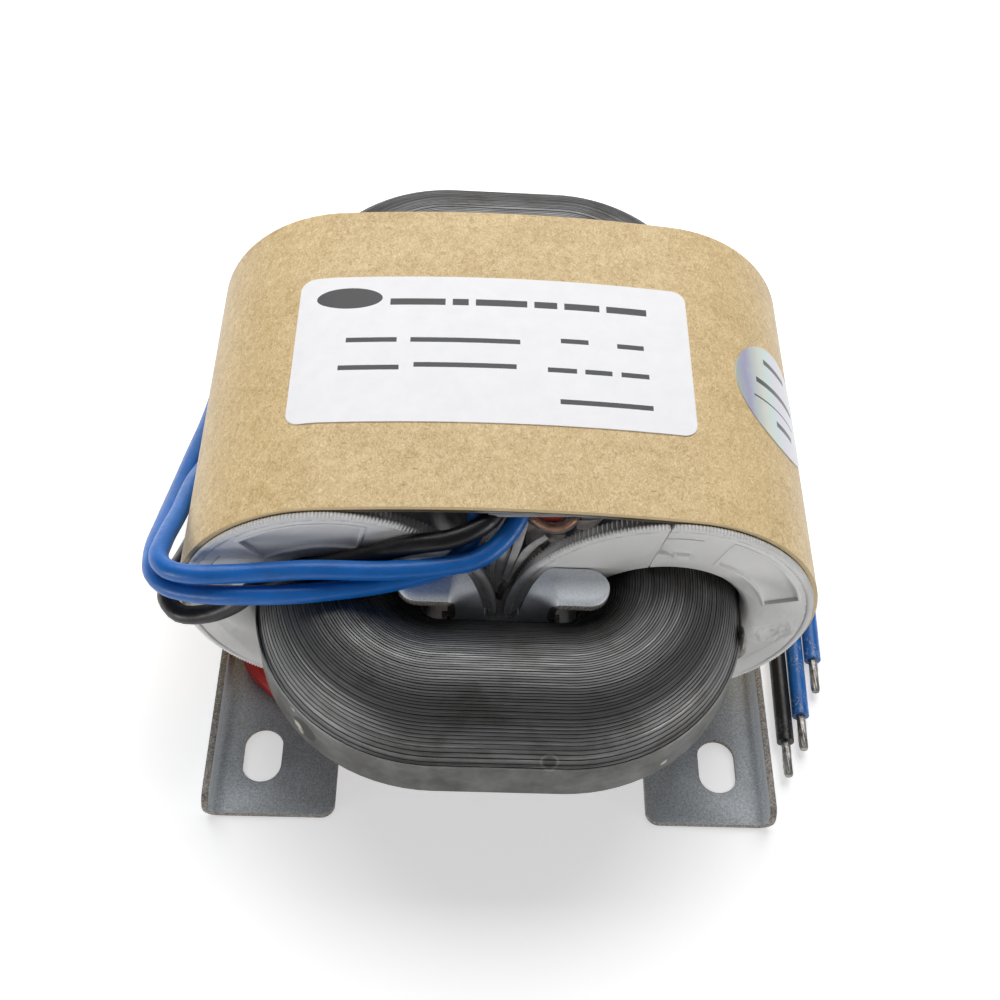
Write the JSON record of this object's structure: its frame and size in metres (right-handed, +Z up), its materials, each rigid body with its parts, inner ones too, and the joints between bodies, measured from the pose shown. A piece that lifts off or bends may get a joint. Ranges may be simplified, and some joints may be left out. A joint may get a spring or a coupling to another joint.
{
  "type": "r-core transformer",
  "caption": "Mains transformer with a round wound steel core, split bobbins under one paper wrap, a folded sheet bracket with slotted feet, and free leads.",
  "frame": {"origin": "middle of the bracket's underside, on the floor", "axes": "+X across the two coils to the right, +Y along the coils to the rear, +Z up; the leads leave the wrap at the front, -Y"},
  "size_m": [0.0825, 0.0981, 0.0374],
  "materials": {
    "zinc_sheet": "dull zinc plate, brownish at the cut edges",
    "core_strip": "dark varnished steel strip, lighter at the strip edges",
    "bobbin_nylon": "off-white moulded nylon",
    "enamelled_wire": "enamelled copper wire",
    "coil_film": "translucent film",
    "white_tape": "dull white tape",
    "kraft_paper": "brown kraft paper with fibres",
    "label_paper": "smooth white label",
    "foil_sticker": "silver foil",
    "sleeved_wire": "copper wire in a clear sleeve",
    "blue_insulation": "satin insulation",
    "black_insulation": "satin insulation",
    "red_insulation": "satin insulation",
    "tinned_wire": "tinned strands"
  },
  "bodies": {
    "root": {"bracket": "zinc_sheet", "core": "core_strip", "bobbin_left_upper": "bobbin_nylon", "bobbin_left_lower": "bobbin_nylon", "bobbin_right_upper": "bobbin_nylon", "bobbin_right_lower": "bobbin_nylon", "primary_left": "enamelled_wire", "primary_right": "enamelled_wire", "insulation_left": "coil_film", "insulation_right": "coil_film", "secondary_left": "enamelled_wire", "secondary_right": "enamelled_wire", "coil_tape_left": "white_tape", "coil_tape_right": "white_tape", "film_wrap": "coil_film", "paper_wrap": "kraft_paper", "label": "label_paper", "round_sticker": "foil_sticker", "splice_top": "white_tape", "splice_bottom": "white_tape", "tape_tails": "white_tape", "copper_tail_left": "sleeved_wire", "copper_tail_right": "sleeved_wire", "lead_blue_1": "blue_insulation", "lead_blue_2": "blue_insulation", "lead_black": "black_insulation", "lead_red_1": "red_insulation", "lead_red_2": "red_insulation", "tip_blue_1": "tinned_wire", "tip_blue_2": "tinned_wire", "tip_black": "tinned_wire", "tip_red_1": "tinned_wire", "tip_red_2": "tinned_wire"}
  },
  "joints": []
}
